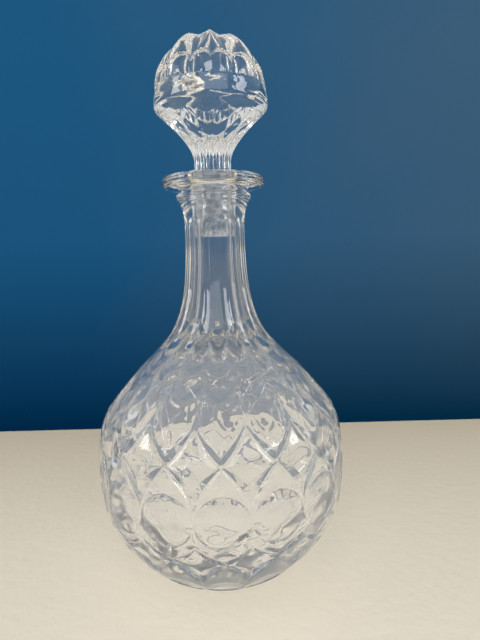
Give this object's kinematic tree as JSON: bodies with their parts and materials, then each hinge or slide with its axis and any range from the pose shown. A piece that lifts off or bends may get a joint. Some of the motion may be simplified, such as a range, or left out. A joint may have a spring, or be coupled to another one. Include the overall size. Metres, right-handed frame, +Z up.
{
  "type": "glass carafe",
  "caption": "Clear glass carafe with a globe body cut with thumbprints and crossing arcs, a fluted neck and a faceted stopper.",
  "frame": {"origin": "middle of the foot, on the surface that the carafe stands on", "axes": "+Z up through the neck and the stopper; -Y towards the viewer of the picture; a column of the cut pattern faces -Y"},
  "size_m": [0.1274, 0.1274, 0.2727],
  "materials": {
    "bottle_glass": "clear pressed glass, fire polished",
    "stopper_glass": "clear solid glass, fire polished",
    "sleeve_plastic": "translucent soft plastic, slightly milky"
  },
  "bodies": {
    "bottle": {"bottle": "bottle_glass"},
    "sleeve": {"stopper_sleeve": "sleeve_plastic"},
    "stopper": {"stopper": "stopper_glass"}
  },
  "joints": [
    {"name": "stopper_lift", "type": "slide", "parent": "bottle", "child": "sleeve", "axis": [0, 0, 1], "range_m": [0, 0.055]},
    {"name": "stopper_turn", "type": "hinge", "parent": "sleeve", "child": "stopper", "pos_m": [0, 0, 0.24], "axis": [0, 0, 1], "continuous": true}
  ]
}
